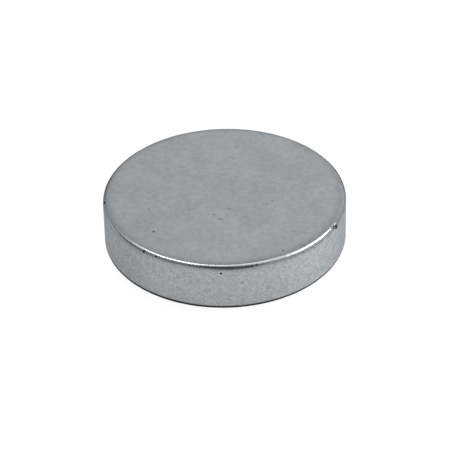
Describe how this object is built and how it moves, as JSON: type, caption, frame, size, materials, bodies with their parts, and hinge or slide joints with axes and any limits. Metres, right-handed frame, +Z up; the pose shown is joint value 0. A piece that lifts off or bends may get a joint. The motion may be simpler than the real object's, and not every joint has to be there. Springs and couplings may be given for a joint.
{
  "type": "disc magnet",
  "caption": "Plain flat disc magnet with rounded edges and a satin grey plated skin, lying on its face; holds to steel or seats in a round pocket.",
  "frame": {"origin": "centre of the bottom face, which it rests on", "axes": "+Z up along the disc's axis, through its thickness; -Y is the front of the disc, and the chip in the top edge lies at the front right"},
  "size_m": [0.048, 0.048, 0.0102],
  "materials": {
    "plating": "satin metal plating with small pits and worn edges"
  },
  "bodies": {
    "root": {"magnet": "plating"}
  },
  "joints": []
}
